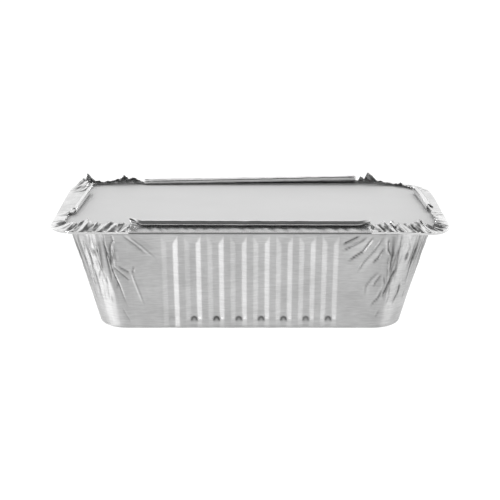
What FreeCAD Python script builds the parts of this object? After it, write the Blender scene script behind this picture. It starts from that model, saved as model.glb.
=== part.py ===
import FreeCAD, Part
import Sketcher
import math
import os

from FreeCAD import Vector

# A closed foil food container: a pressed foil tray and the card lid held under its folded rim.
#
# +X runs along the long side, +Y to the back, +Z up. The origin is the middle of the base's underside.
# The tray is one sheet of foil. A section of rows, from the floor up the wall, out along the shelf, round
# the fold, back in along the flap and round the rolled hem, is carried round the plan outline, and every
# row is set off by half the foil's thickness to both sides. The lid is a flat card.

DIMENSIONS = [
    ("base_length", 163.5, "base outline, where the wall's line meets the floor"),
    ("base_width", 69.5, "base outline"),
    ("base_corner", 16.5, "plan radius at the base"),
    ("base_rounding", 1.8, "radius between floor and wall"),
    ("mouth_length", 195.0, "outline where the wall meets the shelf"),
    ("mouth_width", 101.0, "outline where the wall meets the shelf"),
    ("mouth_corner", 27.0, "plan radius at the mouth"),
    ("wall_height", 59.0, "from the base to the underside of the shelf"),
    ("foil_gauge", 0.1, "foil thickness"),
    ("flange_length", 208.0, "outline of the fold round the rim"),
    ("flange_width", 114.0, "outline of the fold round the rim"),
    ("corner_after_front", 15.0, "plan radius of the fold, front right"),
    ("corner_after_right", 22.0, "plan radius of the fold, back right"),
    ("corner_after_back", 18.0, "plan radius of the fold, back left"),
    ("corner_after_left", 15.0, "plan radius of the fold, front left"),
    ("fold_height", 0.9, "from the shelf to the flap, round the card's edge"),
    ("fold_depth", 0.5, "how far the fold bulges past the shelf"),
    ("groove_floor", 2.9, "width of a groove's floor"),
    ("groove_flank", 3.1, "width of each side of a groove"),
    ("groove_depth", 1.2, "how far a groove is pressed in"),
    ("groove_start", 5.4, "height where a groove's foot starts"),
    ("groove_foot", 7.8, "height where a groove reaches its depth"),
    ("groove_head", 51.5, "height where a groove starts to run out"),
    ("groove_end", 57.0, "height where a groove has run out"),
    ("long_groove_count", 8, "grooves in each long wall"),
    ("long_groove_pitch", 12.0, "spacing in the long walls"),
    ("short_groove_count", 3, "grooves in each end wall"),
    ("short_groove_pitch", 10.5, "spacing in the end walls"),
    ("gather_depth", 0.6, "swing of the gathers pressed into the wall's corners"),
    ("card_length", 203.0, "lid"),
    ("card_width", 109.0, "lid"),
    ("card_corner", 17.0, "lid"),
    ("card_gauge", 0.5, "lid thickness"),
]

# The straight flaps, in order round the plan: where each starts and ends along its side, and at those two
# ends how far it reaches in from the fold and how steeply it is lifted off the card; then its hem's radius.
FLAPS = {
    "front": {"ends": (-62.0, 62.0), "reach": (7.0, 7.0), "lift": (20.0, 15.5), "hem": 1.6},
    "right": {"ends": (-15.0, 30.0), "reach": (6.5, 9.0), "lift": (5.0, 6.0), "hem": 1.8},
    "back": {"ends": (-62.0, 62.0), "reach": (7.0, 6.5), "lift": (21.0, 2.0), "hem": 1.35},
    "left": {"ends": (-28.0, 21.0), "reach": (12.8, 9.2), "lift": (9.0, 5.0), "hem": 1.4},
}
SIDES = list(FLAPS)

# The crumpled foil between two flaps stands in peaks: (share of the way round the corner, reach, lift).
PEAKS = {
    "front": [
        (0.09, 7.5, 33), (0.14, 8.0, 34), (0.19, 7.5, 25), (0.33, 9.5, 32),
        (0.41, 8.0, 22), (0.53, 7.5, 16), (0.74, 7.5, 24), (0.89, 7.0, 18),
    ],
    "right": [
        (0.12, 8.5, 14), (0.31, 8.0, 8), (0.49, 8.5, 18), (0.67, 7.0, 13), (0.88, 9.5, 53), (0.95, 7.0, 40),
    ],
    "back": [
        (0.11, 7.5, 33), (0.19, 9.0, 43), (0.28, 7.0, 25), (0.45, 6.0, 12),
        (0.61, 9.5, 55), (0.73, 8.5, 46), (0.86, 11.5, 30),
    ],
    "left": [
        (0.06, 8.0, 22), (0.20, 7.5, 20), (0.38, 7.5, 24), (0.56, 8.5, 27),
        (0.70, 9.0, 38), (0.77, 7.0, 33), (0.87, 7.5, 36), (0.96, 7.0, 32),
    ],
}
VALLEY_REACH = 0.8  # of the mean of the two peaks beside it
VALLEY_LIFT = 0.5  # of the mean of the two peaks beside it

LONG_GATHERS = 4  # gathers in the flat wall at each end of a long side
CORNER_GATHERS = 7  # steps of gathers round each corner
GATHER_LOW = 0.2  # of the gathers' swing, at the grooves' start
GATHER_FOOT = 0.35  # of the gathers' swing, at the grooves' foot
GROOVE_ROUNDING = 0.3  # of the grooves' depth, midway round the rounding above the floor
GROOVE_BELOW = 0.65  # of the grooves' depth, from that rounding up to their start
HEM_STEPS = 8
HEM_TURN = 305.0  # degrees that the foil's edge is rolled through
FLAT_ENOUGH = 1e-7  # a fourth point this near the plane of three others makes one flat face with them


def make_sheet(doc):
    """The driving dimensions, one row each: name, value, note."""
    sheet = doc.addObject("Spreadsheet::Sheet", "Dimensions")
    for row, (alias, value, note) in enumerate(DIMENSIONS, start=1):
        sheet.set(f"A{row}", alias)
        sheet.set(f"B{row}", str(value))
        sheet.set(f"C{row}", note)
        sheet.setAlias(f"B{row}", alias)
    doc.recompute()
    return sheet


def side_point(side, along, out):
    """A plan point given along a side and out from the centre, for side 0 front, 1 right, 2 back, 3 left."""
    turn = FreeCAD.Rotation(Vector(0, 0, 1), 90.0 * side)
    return turn.multVec(Vector(along, -out, 0))


def half_sizes(side, length, width):
    """Half the outline along a side, and half of it across that side."""
    return (length / 2, width / 2) if side % 2 == 0 else (width / 2, length / 2)


class WallStation:
    """One line up the wall: at a place on a side, a share of the way on to the corner, or on the corner."""

    def __init__(self, side, fixed=None, share=0.0, angle=None, groove=0.0, gather=0.0):
        self.side, self.fixed, self.share, self.angle = side, fixed, share, angle
        self.groove, self.gather = groove, gather

    def place(self, length, width, corner):
        """The plan point and outward direction on an outline of that size."""
        half_along, half_out = half_sizes(self.side, length, width)
        straight = half_along - corner
        if self.angle is not None:
            s, c = math.sin(self.angle), math.cos(self.angle)
            along, out = straight + corner * s, half_out - corner + corner * c
            return side_point(self.side, along, out), side_point(self.side, s, c)
        along = self.fixed + self.share * (straight - abs(self.fixed)) * math.copysign(1, self.fixed)
        return side_point(self.side, along, half_out), side_point(self.side, 0, 1)


def groove_stations(side, count, pitch, floor, flank):
    """The four lines of each groove in a wall: edge, floor, floor, edge."""
    for n in range(count):
        middle = (n - (count - 1) / 2) * pitch
        edges = (-floor / 2 - flank, -floor / 2, floor / 2, floor / 2 + flank)
        for offset, groove in zip(edges, (0, 1, 1, 0)):
            yield WallStation(side, fixed=middle + offset, groove=groove)


def wall_stations(size):
    """Every line up the wall, in order round the plan."""
    found = []
    for side in range(4):
        wall = "long" if side % 2 == 0 else "short"
        count, pitch = int(size[f"{wall}_groove_count"]), size[f"{wall}_groove_pitch"]
        grooves = list(groove_stations(side, count, pitch, size["groove_floor"], size["groove_flank"]))
        steps = LONG_GATHERS if wall == "long" else 1
        shares = [(n + 1) / steps for n in range(steps)]
        first, last = grooves[0].fixed, grooves[-1].fixed
        before = [WallStation(side, first, share, gather=gather_sign(n)) for n, share in enumerate(shares)]
        after = [WallStation(side, last, share, gather=gather_sign(n)) for n, share in enumerate(shares)]
        found += before[::-1] + grooves + after
        for n in range(1, CORNER_GATHERS):
            angle = math.radians(90.0 * n / CORNER_GATHERS)
            found.append(WallStation(side, angle=angle, gather=gather_sign(n + 1)))
    return found


def gather_sign(n):
    """Gathers swing out and in by turns."""
    return 1.0 if n % 2 == 0 else -1.0


def across(before, after):
    """How far the foil's outer side lies from its middle, for one unit of offset, where two runs meet."""
    (r1, z1), (r2, z2) = (unit(before), unit(after))
    share = 1 + (r1 * r2 + z1 * z2)
    return ((z1 + z2) / share, -(r1 + r2) / share)


def unit(run):
    length = math.hypot(*run)
    return (run[0] / length, run[1] / length)


def section_offsets(points, first_run, last_run):
    """For each point of a section, the direction to the foil's outer side."""
    runs = [(b[0] - a[0], b[1] - a[1]) for a, b in zip(points, points[1:])]
    runs = [first_run or runs[0]] + runs + [last_run or runs[-1]]
    return [across(a, b) for a, b in zip(runs, runs[1:])]


def wall_rows(size):
    """The rows of the wall's section, floor edge first: distance out from the base outline, height, how much
    of the grooves and of the gathers the row takes, and the direction to the foil's outer side."""
    half = size["foil_gauge"] / 2
    slope = (size["mouth_width"] - size["base_width"]) / 2 / size["wall_height"]
    lean = math.atan(slope)
    radius = size["base_rounding"]
    reach = radius * math.tan((math.pi / 2 - lean) / 2)
    middle = (math.pi / 2 - lean) / 2

    def on_wall(z, *shares):
        return (slope * z, z, *shares)

    rows = [
        (-reach, half, 0.0, 0.0),
        (-reach + radius * math.sin(middle), half + radius * (1 - math.cos(middle)), GROOVE_ROUNDING, 0.0),
        on_wall(reach * math.cos(lean), GROOVE_BELOW, 0.0),
        on_wall(size["groove_start"], GROOVE_BELOW, GATHER_LOW),
        on_wall(size["groove_foot"], 1.0, GATHER_FOOT),
        on_wall(size["groove_head"], 1.0, 1.0),
        on_wall(size["groove_end"], 0.0, 1.0),
        on_wall(size["wall_height"] + half, 0.0, 1.0),
    ]
    offsets = section_offsets([row[:2] for row in rows], (1, 0), (1, 0))
    return [(*row, offset) for row, offset in zip(rows, offsets)]


def wall_rings(size, stations):
    """For each row of the wall, the foil's outer and inner points at every station."""
    half = size["foil_gauge"] / 2
    growth = (size["mouth_corner"] - size["base_corner"]) / ((size["mouth_width"] - size["base_width"]) / 2)
    rings = []
    for out, z, groove_share, gather_share, (off_r, off_z) in wall_rows(size):
        corner = size["base_corner"] + growth * out
        outer, inner = [], []
        for station in stations:
            point, normal = station.place(size["base_length"] + 2 * out, size["base_width"] + 2 * out, corner)
            pressed = gather_share * station.gather * size["gather_depth"]
            pressed -= groove_share * station.groove * size["groove_depth"]
            for side_points, way in ((outer, half), (inner, -half)):
                side_points.append(point + normal * (pressed + way * off_r) + Vector(0, 0, z + way * off_z))
        rings.append((outer, inner))
    return rings


def rim_path(size, side, distance):
    """A point of the flange's outline and its outward direction, that far round from a flap's end."""
    half_along, half_out = half_sizes(side, size["flange_length"], size["flange_width"])
    corner = size[f"corner_after_{SIDES[side]}"]
    start = FLAPS[SIDES[side]]["ends"][1]
    first = half_along - corner - start
    arc = corner * math.pi / 2
    if distance <= first:
        return side_point(side, start + distance, half_out), side_point(side, 0, 1)
    if distance <= first + arc:
        angle = (distance - first) / corner
        s, c = math.sin(angle), math.cos(angle)
        point = side_point(side, half_along - corner + corner * s, half_out - corner + corner * c)
        return point, side_point(side, s, c)
    rest = distance - first - arc
    return side_point(side, half_along, half_out - corner - rest), side_point(side, 1, 0)


def corner_length(size, side):
    """The way round a corner of the flange, from one flap's end to the next flap's start."""
    half_along, half_out = half_sizes(side, size["flange_length"], size["flange_width"])
    corner = size[f"corner_after_{SIDES[side]}"]
    first = half_along - corner - FLAPS[SIDES[side]]["ends"][1]
    last = half_out - corner + FLAPS[SIDES[(side + 1) % 4]]["ends"][0]
    return first + corner * math.pi / 2 + last


def corner_pleats(side):
    """The peaks round a corner with a valley before, between and after them: (share, reach, lift)."""
    peaks = PEAKS[SIDES[side]]
    found = []
    for before, after in zip([(0.0, *peaks[0][1:]), *peaks], [*peaks, (1.0, *peaks[-1][1:])]):
        share, reach, lift = [(one + other) / 2 for one, other in zip(before, after)]
        found += [(share, VALLEY_REACH * reach, VALLEY_LIFT * lift), after]
    return found[:-1]


def flap_section(size, reach, lift, hem=None):
    """The rim's section, from the shelf's outer edge: distance out from the flange's outline, and height."""
    shelf = size["wall_height"] + size["foil_gauge"] / 2
    depth, height = size["fold_depth"], size["fold_height"]
    angle = math.radians(lift)
    end = Vector(-depth - reach * math.cos(angle), shelf + height + reach * math.sin(angle), 0)
    points = [(-depth, shelf), (0.0, shelf + height / 2), (-depth, shelf + height), (end.x, end.y)]
    if hem:
        inward = Vector(-math.cos(angle), math.sin(angle), 0)
        upward = Vector(math.sin(angle), math.cos(angle), 0)
        centre = end + upward * hem
        for n in range(1, HEM_STEPS + 1):
            turn = math.radians(HEM_TURN * n / HEM_STEPS)
            at = centre + inward * (hem * math.sin(turn)) - upward * (hem * math.cos(turn))
            points.append((at.x, at.y))
    return points


def rim_column(size, place, section):
    """The foil's outer and inner points of one rim section, set up at a plan point that faces a direction."""
    half = size["foil_gauge"] / 2
    point, normal = place
    outer, inner = [], []
    for (out, z), (off_r, off_z) in zip(section, section_offsets(section, (1, 0), None)):
        for side_points, way in ((outer, half), (inner, -half)):
            side_points.append(point + normal * (out + way * off_r) + Vector(0, 0, z + way * off_z))
    return outer, inner


def rim_columns(size):
    """Every section of the rim in order round the plan: two with a hem for a flap, and a corner's pleats."""
    found = []
    for side, name in enumerate(SIDES):
        flap = FLAPS[name]
        half_out = half_sizes(side, size["flange_length"], size["flange_width"])[1]
        for along, reach, lift in zip(flap["ends"], flap["reach"], flap["lift"]):
            place = (side_point(side, along, half_out), side_point(side, 0, 1))
            found.append(rim_column(size, place, flap_section(size, reach, lift, flap["hem"])))
        length = corner_length(size, side)
        for share, reach, lift in corner_pleats(side):
            place = rim_path(size, side, share * length)
            found.append(rim_column(size, place, flap_section(size, reach, lift)))
    return found


def face(points):
    return Part.Face(Part.makePolygon([*points, points[0]]))


def patch(a, b, c, d):
    """One flat face through four points, or two triangles where they don't lie in a plane."""
    normal = (b - a).cross(c - a)
    if abs((d - a).dot(normal.normalize())) < FLAT_ENOUGH:
        return [face([a, b, c, d])]
    return [face([a, b, c]), face([a, c, d])]


def ring_between(outer_ring, inner_ring):
    """A flat face between two closed outlines."""
    wires = [Part.makePolygon([*ring, ring[0]]) for ring in (outer_ring, inner_ring)]
    return Part.makeFace(wires, "Part::FaceMakerBullseye")


def foil_shape(size):
    """The tray's foil as one closed solid."""
    faces = []
    rings = wall_rings(size, wall_stations(size))
    columns = rim_columns(size)
    for side in (0, 1):
        faces.append(face(rings[0][side]))
        for low, high in zip(rings, rings[1:]):
            low, high = low[side], high[side]
            for n in range(len(low)):
                m = (n + 1) % len(low)
                faces += patch(low[n], low[m], high[m], high[n])
        faces.append(ring_between([column[side][0] for column in columns], rings[-1][side]))
    flap_rows = len(flap_section(size, 1, 0))
    for n, column in enumerate(columns):
        following = columns[(n + 1) % len(columns)]
        rows = min(len(column[0]), len(following[0]))
        for side in (0, 1):
            a, b = column[side], following[side]
            for row in range(rows - 1):
                faces += patch(a[row], b[row], b[row + 1], a[row + 1])
        last = rows - 1
        faces += patch(column[0][last], following[0][last], following[1][last], column[1][last])
        if len(column[0]) > flap_rows:
            for row in range(flap_rows - 1, len(column[0]) - 1):
                faces += patch(column[0][row], column[0][row + 1], column[1][row + 1], column[1][row])
    skin = Part.Compound(faces)
    skin.sewShape()
    return Part.Solid(skin.Shells[0])


def make_tray(doc, size):
    tray = doc.addObject("Part::Feature", "foil_tray")
    tray.Label = "foil_tray"
    tray.Shape = foil_shape(size)
    tray.Placement = FreeCAD.Placement(Vector(0, 0, 0), FreeCAD.Rotation())
    return tray


def draw_rounded_rectangle(sketch, length, width, corner):
    """Four straight sides and four corners about the sketch's origin, driven by three cells of the sheet."""
    x, y, r = 50.0, 30.0, 8.0  # a first guess, which the constraints replace
    up = Vector(0, 0, 1)
    sides = [
        Part.LineSegment(Vector(r - x, -y, 0), Vector(x - r, -y, 0)),
        Part.LineSegment(Vector(x, r - y, 0), Vector(x, y - r, 0)),
        Part.LineSegment(Vector(x - r, y, 0), Vector(r - x, y, 0)),
        Part.LineSegment(Vector(-x, y - r, 0), Vector(-x, r - y, 0)),
    ]
    centres = [
        Vector(x - r, r - y, 0),
        Vector(x - r, y - r, 0),
        Vector(r - x, y - r, 0),
        Vector(r - x, r - y, 0),
    ]
    corners = []
    for n, centre in enumerate(centres):
        start = (n - 1) * math.pi / 2
        corners.append(Part.ArcOfCircle(Part.Circle(centre, up, r), start, start + math.pi / 2))
    sketch.addGeometry(sides + corners, False)
    begin, finish = 1, 2
    for n in range(4):
        arc = 4 + n
        sketch.addConstraint(Sketcher.Constraint("Tangent", n, finish, arc, begin))
        sketch.addConstraint(Sketcher.Constraint("Tangent", arc, finish, (n + 1) % 4, begin))
    for n in (0, 2):
        sketch.addConstraint(Sketcher.Constraint("Horizontal", n))
        sketch.addConstraint(Sketcher.Constraint("Vertical", n + 1))
    for arc in (5, 6, 7):
        sketch.addConstraint(Sketcher.Constraint("Equal", 4, arc))
    origin = -1
    sketch.addConstraint(Sketcher.Constraint("Symmetric", 0, begin, 2, begin, origin, 1))
    drive(sketch, Sketcher.Constraint("Radius", 4, r), corner)
    drive(sketch, Sketcher.Constraint("DistanceX", 3, begin, 1, begin, 2 * x), length)
    drive(sketch, Sketcher.Constraint("DistanceY", 0, begin, 2, begin, 2 * y), width)


def drive(sketch, constraint, cell):
    """Add a measured constraint and bind it to a cell of the sheet."""
    number = sketch.addConstraint(constraint)
    sketch.setExpression(f"Constraints[{number}]", f"Dimensions.{cell} * 1 mm")


def make_lid(doc):
    """The card, padded from its outline and laid on the shelf."""
    body = doc.addObject("PartDesign::Body", "card_lid")
    body.Label = "card_lid"
    doc.recompute()
    plane = next(feature for feature in body.Origin.OriginFeatures if feature.Role == "XY_Plane")
    outline = body.newObject("Sketcher::SketchObject", "card_outline")
    outline.AttachmentSupport = [(plane, "")]
    outline.MapMode = "FlatFace"
    draw_rounded_rectangle(outline, "card_length", "card_width", "card_corner")
    doc.recompute()
    card = body.newObject("PartDesign::Pad", "card")
    card.Profile = outline
    card.setExpression("Length", "Dimensions.card_gauge * 1 mm")
    body.Tip = card
    body.setExpression("Placement.Base.z", "(Dimensions.wall_height + Dimensions.foil_gauge) * 1 mm")
    return body


def check_and_write(doc, pieces):
    """Stop at any failed object or bad shape. Otherwise write each piece to a file named by its label."""
    doc.recompute()
    for item in doc.Objects:
        if {"Invalid", "Error"} & set(item.State):
            raise RuntimeError(f"{item.Name} failed: {item.State}")
    for piece in pieces:
        if piece.Shape.isNull() or not piece.Shape.isValid() or len(piece.Shape.Solids) != 1:
            raise RuntimeError(f"{piece.Label} is not one sound solid")
    os.makedirs("parts", exist_ok=True)
    for piece in pieces:
        piece.Shape.exportStep(f"parts/{piece.Label}.step")


doc = FreeCAD.newDocument("foil_container")
sheet = make_sheet(doc)
size = {alias: sheet.get(alias) for alias, value, note in DIMENSIONS}
check_and_write(doc, [make_tray(doc, size), make_lid(doc)])
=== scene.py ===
import bisect
import bmesh
import bpy
import math
import random
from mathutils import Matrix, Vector, noise


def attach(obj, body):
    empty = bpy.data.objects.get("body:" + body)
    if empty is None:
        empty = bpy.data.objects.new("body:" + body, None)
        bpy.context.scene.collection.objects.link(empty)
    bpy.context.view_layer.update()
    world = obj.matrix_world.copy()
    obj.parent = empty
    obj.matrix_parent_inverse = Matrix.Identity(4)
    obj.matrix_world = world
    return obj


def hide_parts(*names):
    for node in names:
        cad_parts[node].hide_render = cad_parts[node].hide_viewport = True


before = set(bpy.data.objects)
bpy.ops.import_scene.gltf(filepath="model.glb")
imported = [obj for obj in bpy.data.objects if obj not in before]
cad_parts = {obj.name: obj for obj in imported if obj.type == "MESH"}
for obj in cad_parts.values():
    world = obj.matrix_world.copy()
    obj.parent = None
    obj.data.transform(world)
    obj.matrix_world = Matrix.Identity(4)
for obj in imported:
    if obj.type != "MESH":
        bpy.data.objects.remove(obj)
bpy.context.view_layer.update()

# The tub: the deep part of the foil tray. Thin aluminium sheet, pressed over a block, with upright grooves in
# its walls that stiffen it. The sheet is too wide for the corners, so it gathers and creases there. It is one
# sheet with the rim below, and meets it at the edge of the shelf that the card lies on.

MM = 0.001
rng = random.Random(11)

BASE = (163.5, 69.5)  # outline where the wall's line meets the floor, in millimetres as all sizes here
BASE_CORNER = 16.5
BASE_ROUNDING = 1.8
MOUTH = (195.0, 101.0)  # outline where the wall meets the shelf
MOUTH_CORNER = 27.0
WALL_HEIGHT = 59.0
FOIL_GAUGE = 0.1
SHELF = WALL_HEIGHT + FOIL_GAUGE / 2

TUB_FLAT = (62.0, 15.6, 62.0, 15.6)  # half of the wall's flat part on the front, right, back and left side
GROOVES = ((8, 12.0), (3, 10.5), (8, 12.0), (3, 10.5))  # how many on each side, and their pitch
GROOVE_FLOOR = 2.9
GROOVE_FLANK = 3.1
GROOVE_DEPTH = 1.2
GROOVE_BEND = 0.22  # half the width of the bend at each edge of its floor and flanks
GROOVE_HEAD = (51.5, 57.0)  # heights from and to which its head slopes out

# The arched step at a groove's foot. Under the arch the foil is pressed in less, and just above it more.
FOOT_HEIGHT = 7.7
FOOT_ARCH = (1.9, 1.1)  # half the arch's width, and its height
FOOT_SLOPE = 0.9  # the height that the step itself takes up
FOOT_STAND = (0.34, 0.12)  # shares of the groove's depth that the foil stands out at the floor, and less above
FOOT_LEAN = 5.4  # the height at which it stands out less by all of that
ABOVE_FOOT = (0.22, 3.0)  # the share by which the groove is deeper above the step, and over what height
# how dark the shade painted on the step at a groove's foot is
FOOT_PAINTED_SHADE = 0.85
FOOT_LINES = (0.0, 0.7, 2.2)  # where more lines run up the wall to give the step's shape
HEAD_LINES = (3.0, 3.8)  # and, on the front, to give the slope of the head

# Creases in the front wall's two ends: points (x, height) from top to bottom, depth, and the widths of the
# crease's left and right side. The narrow side is the steep one, which shows as a line.
FRONT_CREASES = (
    (((-77, 56), (-76, 50), (-74, 43), (-72, 34), (-69, 26), (-65, 13)), -0.85, 4.0, 0.7),
    (((-68, 12), (-64, 4)), -0.5, 2.0, 0.7),
    (((-80, 41), (-78, 34)), -0.6, 2.0, 0.7),
    (((-87, 50), (-85, 42), (-83, 35)), -0.6, 2.5, 0.7),
    (((-82, 47), (-81, 43)), -0.6, 1.6, 0.7),
    (((-63, 56), (-57, 51), (-49, 43)), 0.75, 0.8, 3.0),
    (((-66, 56), (-60, 51), (-54, 45)), -0.45, 1.2, 0.7),
    (((-72, 56), (-71, 52)), -0.6, 1.2, 0.7),
    (((-72, 38), (-63, 29)), -0.6, 2.5, 0.7),
    (((-69, 38), (-63, 34)), -0.5, 0.7, 2.0),
    (((-61, 38), (-62, 34)), -0.5, 0.7, 1.2),
    (((-62, 34), (-60, 27), (-56, 14)), 0.6, 1.0, 3.5),
    (((-71, 48), (-70, 41)), 0.6, 0.8, 2.0),
    (((57, 56), (48, 51)), -0.8, 2.2, 0.9),
    (((61, 55), (53, 50), (48, 47)), 0.9, 0.8, 2.2),
    (((64, 55), (59, 47), (51, 41)), -0.9, 3.4, 0.9),
    (((69, 55), (65, 48), (59, 40), (56, 34)), 0.7, 0.9, 3.0),
    (((70, 49), (67, 43), (64, 40)), -0.6, 2.0, 0.7),
    (((72, 54), (72, 48), (74, 44)), -0.65, 1.8, 0.7),
    (((67, 34), (64, 31), (61, 26), (61, 20)), 0.55, 0.8, 2.4),
    (((69, 33), (65, 26)), -0.5, 1.6, 0.7),
    (((70, 24), (68, 19), (64, 14)), -0.55, 2.0, 0.7),
    (((77, 37), (73, 27), (70, 19)), -0.8, 3.0, 0.7),
    (((80, 27), (79, 21), (76, 14)), -0.6, 2.2, 0.7),
    (((83, 45), (82, 40)), -0.6, 1.6, 0.7),
    (((88, 47), (86, 38)), -0.6, 1.8, 0.7),
    (((69, 11), (67, 7)), -0.5, 1.6, 0.7),
)


def side_point(side, along, out):
    """A plan point given along a side and out from the centre, for side 0 front, 1 right, 2 back, 3 left."""
    turned = ((along, -out), (out, along), (-along, out), (-out, -along))
    return Vector((*turned[side], 0.0))


def half_sizes(side, size):
    """Half an outline's size along a side, and half of it across that side."""
    return (size[0] / 2, size[1] / 2) if side % 2 == 0 else (size[1] / 2, size[0] / 2)


def corner_run(side, size, corner, flat):
    """The lengths of straight, arc and straight from a side's flat part round the corner to the next one's."""
    half_along, half_out = half_sizes(side, size)
    return half_along - corner - flat[side], corner * math.pi / 2, half_out - corner - flat[(side + 1) % 4]


def on_outline(station, size, corner):
    """The plan point and outward direction of a station on an outline of that size and corner. A station is a
    line up the foil, at a place along a side's flat part or at a share of the way round the corner after it."""
    side, flat = station["side"], station["flat"]
    half_along, half_out = half_sizes(side, size)
    if station["share"] is None:
        return side_point(side, station["along"], half_out), side_point(side, 0, 1)
    first, arc, last = corner_run(side, size, corner, flat)
    distance = station["share"] * (first + arc + last)
    if distance <= first:
        return side_point(side, flat[side] + distance, half_out), side_point(side, 0, 1)
    if distance <= first + arc:
        angle = (distance - first) / corner
        s, c = math.sin(angle), math.cos(angle)
        along, out = half_along - corner + corner * s, half_out - corner + corner * c
        return side_point(side, along, out), side_point(side, s, c)
    rest = distance - first - arc
    return side_point(side, half_along, half_out - corner - rest), side_point(side, 1, 0)


def tent(x, left, right):
    """A ridge of height 1 over x = 0 that falls away on its two sides over those widths."""
    return max(0.0, 1 + x / left if x < 0 else 1 - x / right)


def smooth(x, low, high):
    """0 below low, 1 above high, with an eased step between."""
    t = min(1.0, max(0.0, (x - low) / (high - low)))
    return t * t * (3 - 2 * t)


def ramp(x, low, high):
    """0 below low, 1 above high, with a straight run between."""
    return min(1.0, max(0.0, (x - low) / (high - low)))


def random_folds(length, narrow, wide, lowest):
    """Folds across a strip of foil, as places and heights: it stands out and in by turns."""
    found, at, way = [], rng.uniform(0, wide), 1
    while at < length:
        found.append((at, way * rng.uniform(lowest, 1.0)))
        at += rng.uniform(narrow, wide)
        way = -way
    return found


def fold_at(folds, x):
    """The height at a place between folds, along the flat run from one to the next."""
    after = bisect.bisect_right(folds, (x, math.inf))
    if after == 0 or after == len(folds):
        return 0.0
    (x0, h0), (x1, h1) = folds[after - 1], folds[after]
    return h0 + (h1 - h0) * (x - x0) / (x1 - x0)


def flat_places(side, step):
    """The places along a side's flat part where lines run up the wall: two at each edge of a groove, and even
    steps on the rest."""
    count, pitch = GROOVES[side]
    inner, outer = GROOVE_FLOOR / 2, GROOVE_FLOOR / 2 + GROOVE_FLANK
    lines = [bend + offset for bend in (-outer, -inner, inner, outer) for offset in (-GROOVE_BEND, GROOVE_BEND)]
    lines += [way * line for line in (FOOT_LINES + HEAD_LINES if side == 0 else FOOT_LINES) for way in (-1, 1)]
    found = sorted((n - (count - 1) / 2) * pitch + line for n in range(count) for line in sorted(set(lines)))
    for end, way in ((found[0], -1), (found[-1], 1)):
        gap = TUB_FLAT[side] - abs(end)
        steps = max(1, round(gap / step))
        found += [end + way * gap * n / steps for n in range(1, steps + 1)]
    return sorted(found)


FOOT_STEPS = [[rng.uniform(0.75, 1.1) for n in range(count)] for count, pitch in GROOVES]
FOOT_STEPS[0][0] = 0.2  # the front's first groove has hardly any foot


def groove_reach(side, along, z):
    """A groove's depth at a place and height, and the shade painted there. It runs on below the step at its
    foot, and its head is a flat slope that ends between its flanks. Shade is painted on the step's slope, as an
    arch whose middle is lighter lower down."""
    count, pitch = GROOVES[side]
    n = min(count - 1, max(0, round(along / pitch + (count - 1) / 2)))
    away = abs(along - (n - (count - 1) / 2) * pitch)
    deep = 1 - ramp(away, GROOVE_FLOOR / 2, GROOVE_FLOOR / 2 + GROOVE_FLANK)
    step = FOOT_STEPS[side][n]
    half, rise = FOOT_ARCH
    edge = FOOT_HEIGHT - rise * min(away / half, 1.0) ** 2
    below = 1 - step * (FOOT_STAND[0] - FOOT_STAND[1] * ramp(z, 0, FOOT_LEAN))
    above = 1 + ABOVE_FOOT[0] * step * (1 - ramp(z, edge, edge + ABOVE_FOOT[1]))
    share = below + (above - below) * ramp(z, edge - FOOT_SLOPE, edge)
    narrowed = half - 0.7 * ramp(z, 5.0, edge)
    across = 1 - ramp(away, narrowed - 0.2, narrowed + 0.4)
    arch = ramp(z, 4.2, FOOT_LEAN) * (1 - ramp(z, edge - 0.5, edge + 0.2)) * across
    middle = (1 - ramp(away, 0.2, 1.2)) * (1 - ramp(z, 5.6, 6.9))
    # painted shade on the step's slope
    painted_shade = FOOT_PAINTED_SHADE * step * arch * (1 - 0.6 * middle)
    return GROOVE_DEPTH * min(deep * share, 1 - ramp(z, *GROOVE_HEAD)), painted_shade


FLAT_STEPS = (0.6, 2.0, 2.0, 2.0)  # between lines up the wall on each side, beyond its grooves
TUB_STEPS = (0.6, 1.5, 1.5, 0.6)  # and at the mouth, round the corner after each side
mouth_runs = [sum(corner_run(side, MOUTH, MOUTH_CORNER, TUB_FLAT)) for side in range(4)]
gathers = [random_folds(mouth_runs[side], 2.0, 5.5, 0.3) for side in range(4)]


def tub_stations():
    """Every line of the wall, in order round the plan."""
    found = []
    for side in range(4):
        places = flat_places(side, FLAT_STEPS[side])
        found += [{"side": side, "share": None, "along": along, "flat": TUB_FLAT} for along in places]
        steps = round(mouth_runs[side] / TUB_STEPS[side])
        shares = [n / steps for n in range(1, steps)]
        found += [{"side": side, "share": share, "along": None, "flat": TUB_FLAT} for share in shares]
    return found


CREASED = ((0.15, 1.1), (-0.1, 1.1), (-0.1, 1.1), (-0.1, 0.85))  # shares of each corner that the creases lie in
CREASE_TOP = 57.0
STEEP_SIDE = 0.6  # the width of a crease's steep side
# the width of the shade painted along a crease's line
PAINTED_SHADE_WIDTH = 0.75
SHORT_CREASES, LONG_CREASES = 70, 34  # in each corner
# The ranges of a short and of a long crease: half its length, slant in degrees, depth, width, and how dark the
# shade painted along its line is.
SHORT_CREASE = {"half": (1.5, 5.0), "slant": (-30, 30), "depth": (0.08, 0.28), "width": (0.8, 2.0),
                "painted_shade": (-0.5, 0.8)}
LONG_CREASE = {"half": (8, 17), "slant": (-7, 7), "depth": (0.12, 0.34), "width": (1.5, 3.5),
               "painted_shade": (0.2, 1.3)}


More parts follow.
